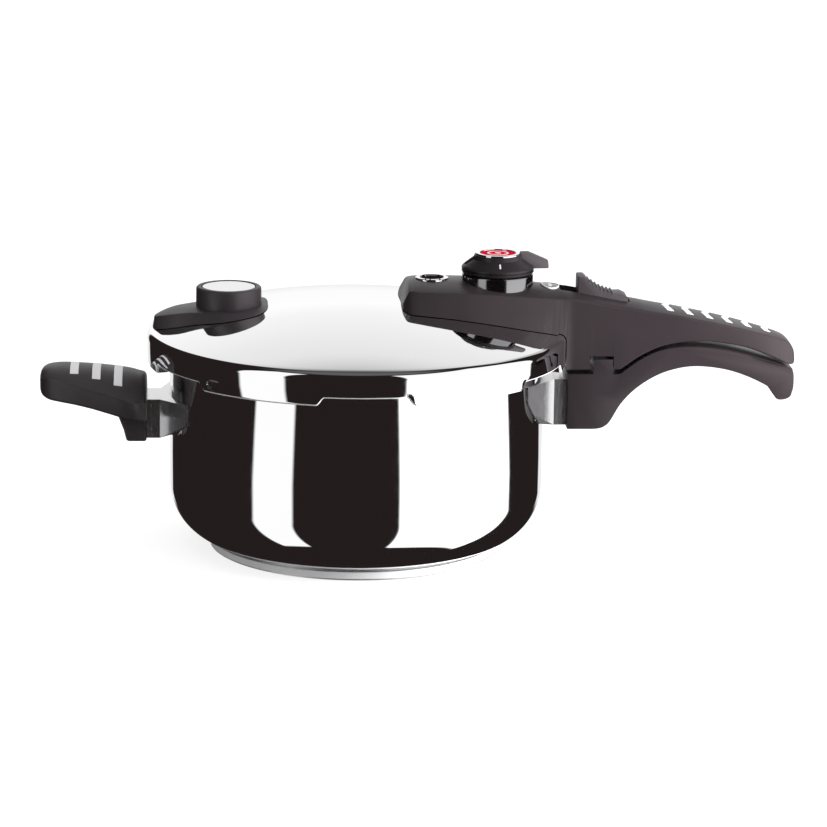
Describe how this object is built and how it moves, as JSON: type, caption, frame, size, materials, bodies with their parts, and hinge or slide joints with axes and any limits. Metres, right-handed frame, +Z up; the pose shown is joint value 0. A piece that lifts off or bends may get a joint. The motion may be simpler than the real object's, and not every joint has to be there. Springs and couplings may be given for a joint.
{
  "type": "stovetop pressure cooker",
  "caption": "Stovetop pressure cooker: steel pot with capsule base, bayonet lid, twin long handle, helper handle, pressure regulator, safety valve and lock slider.",
  "frame": {"origin": "centre of the underside of the capsule base, on the surface the pot stands on", "axes": "+Z up along the pot axis, +X along the long handles, +Y to the side"},
  "size_m": [0.4494, 0.2484, 0.1774],
  "materials": {
    "polished_steel": "mirror-polished stainless steel",
    "plain_steel": "brushed or turned stainless steel",
    "base_aluminium": "satin aluminium inside the capsule base",
    "handle_plastic": "satin moulded phenolic plastic with a fine grain",
    "knob_plastic": "fine matt moulded plastic",
    "gloss_plastic": "glossy black moulded plastic",
    "pointer_plastic": "dark grey plastic",
    "stripe_plastic": "light grey soft plastic inlay",
    "red_plastic": "glossy red plastic",
    "seal_rubber": "grey silicone rubber",
    "valve_brass": "turned brass"
  },
  "bodies": {
    "pot": {"pot_body": "polished_steel", "base_core": "base_aluminium", "base_capsule": "polished_steel", "pot_bracket": "plain_steel", "pot_flame_guard": "polished_steel", "pot_handle": "handle_plastic", "pot_handle_screw": "plain_steel", "helper_bracket": "plain_steel", "helper_flame_guard": "polished_steel", "helper_handle": "handle_plastic", "helper_handle_stripes": "stripe_plastic", "helper_handle_screw": "plain_steel"},
    "lid": {"lid_shell": "polished_steel", "lid_gasket": "seal_rubber", "lid_handle": "handle_plastic", "lid_handle_cover": "handle_plastic", "lid_handle_stripes": "stripe_plastic", "lid_handle_screws": "plain_steel", "cover_screws": "plain_steel", "handle_badge": "stripe_plastic", "regulator_collar": "gloss_plastic", "valve_body": "valve_brass", "valve_nut": "plain_steel", "valve_guard": "plain_steel", "indicator_ring": "polished_steel", "indicator_seal": "seal_rubber", "safety_cover": "handle_plastic", "safety_disc": "polished_steel", "safety_valve_body": "valve_brass", "safety_valve_nut": "plain_steel", "regulator_spring": "plain_steel", "safety_spring": "plain_steel", "lock_spring": "plain_steel"},
    "regulator": {"regulator_knob": "knob_plastic", "knob_trim_ring": "polished_steel", "knob_disc": "red_plastic", "knob_pointer": "pointer_plastic"},
    "needle": {"regulator_needle": "plain_steel"},
    "indicator": {"indicator_pin": "gloss_plastic"},
    "slider": {"lock_slider": "knob_plastic"},
    "bolt": {"lock_bolt": "plain_steel"},
    "interlock": {"interlock_pin": "plain_steel"},
    "safety": {"safety_poppet": "red_plastic"}
  },
  "joints": [
    {"name": "lid_turn", "type": "hinge", "parent": "pot", "child": "lid", "pos_m": [0, 0, 0.115], "axis": [0, 0, 1], "range_deg": [0, 30]},
    {"name": "regulator_turn", "type": "hinge", "parent": "lid", "child": "regulator", "pos_m": [0.083, 0, 0.16], "axis": [0, 0, 1], "range_deg": [-90, 0]},
    {"name": "needle_lift", "type": "slide", "parent": "lid", "child": "needle", "axis": [0, 0, 1], "range_m": [0, 0.0015], "stiffness_N_per_m": 300, "springref_m": -0.002, "deforming": ["regulator_spring"]},
    {"name": "indicator_rise", "type": "slide", "parent": "lid", "child": "indicator", "axis": [0, 0, 1], "range_m": [0, 0.004]},
    {"name": "lock_slide", "type": "slide", "parent": "lid", "child": "slider", "axis": [-1, 0, 0], "range_m": [0, 0.009], "deforming": ["lock_spring"]},
    {"name": "bolt_drop", "type": "slide", "parent": "lid", "child": "bolt", "axis": [0, 0, -1], "range_m": [0, 0.005]},
    {"name": "interlock_press", "type": "slide", "parent": "lid", "child": "interlock", "axis": [-1, 0, 0], "range_m": [0, 0.0012], "stiffness_N_per_m": 200, "springref_m": -0.001},
    {"name": "safety_lift", "type": "slide", "parent": "lid", "child": "safety", "axis": [0, 0, 1], "range_m": [0, 0.002], "stiffness_N_per_m": 400, "springref_m": -0.002, "deforming": ["safety_spring"]}
  ],
  "couplings": [
    {"joint": "bolt_drop", "follows": "lock_slide", "ratio": 0.55556}
  ]
}
